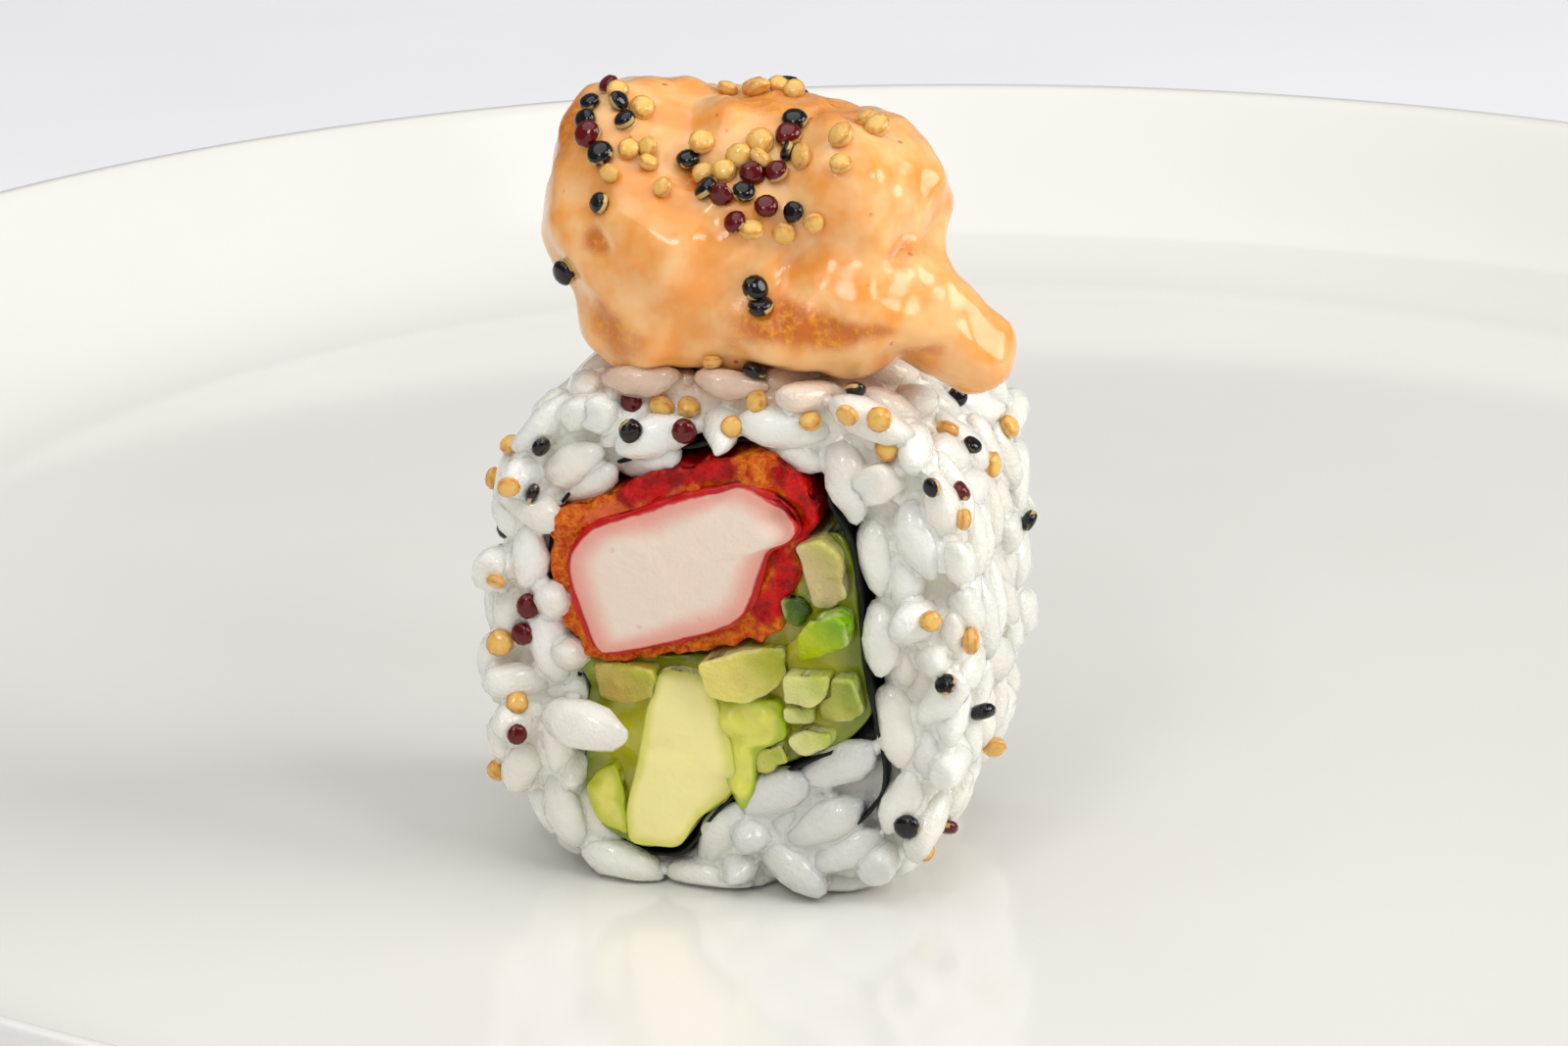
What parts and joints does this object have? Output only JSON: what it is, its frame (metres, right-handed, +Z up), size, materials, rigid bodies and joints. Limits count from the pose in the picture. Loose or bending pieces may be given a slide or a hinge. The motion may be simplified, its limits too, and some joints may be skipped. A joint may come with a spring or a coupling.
{
  "type": "uramaki roll on a plate",
  "caption": "Rice-out sushi roll piece with nori round fried crab stick, avocado and cucumber, a sauced bite and quinoa seeds on top, standing on a round white plate.",
  "frame": {"origin": "centre of the plate's foot ring, on the table under it", "axes": "+Z up out of the plate's well; -Y towards the viewer, who sees the roll's near cut; +X to the viewer's right"},
  "size_m": [0.28, 0.28, 0.0703],
  "materials": {
    "plate": "glossy white glaze",
    "rice": "moist, translucent cooked rice",
    "nori": "dark satin seaweed sheet",
    "crab_stick": "white surimi with a red skin",
    "avocado": "soft satin flesh",
    "cucumber": "wet and translucent",
    "topping": "glossy creamy sauce over fried crust"
  },
  "bodies": {
    "root": {"plate": "plate", "rice": "rice", "nori": "nori", "crab_stick": "crab_stick", "avocado_slice": "avocado", "avocado_mash": "avocado", "avocado_side": "avocado", "cucumber_1": "cucumber", "cucumber_2": "cucumber", "cucumber_3": "cucumber", "cucumber_4": "cucumber", "cucumber_5": "cucumber", "cucumber_6": "cucumber", "cucumber_7": "cucumber", "cucumber_8": "cucumber", "cucumber_9": "cucumber", "cucumber_10": "cucumber", "topping": "topping"}
  },
  "joints": []
}
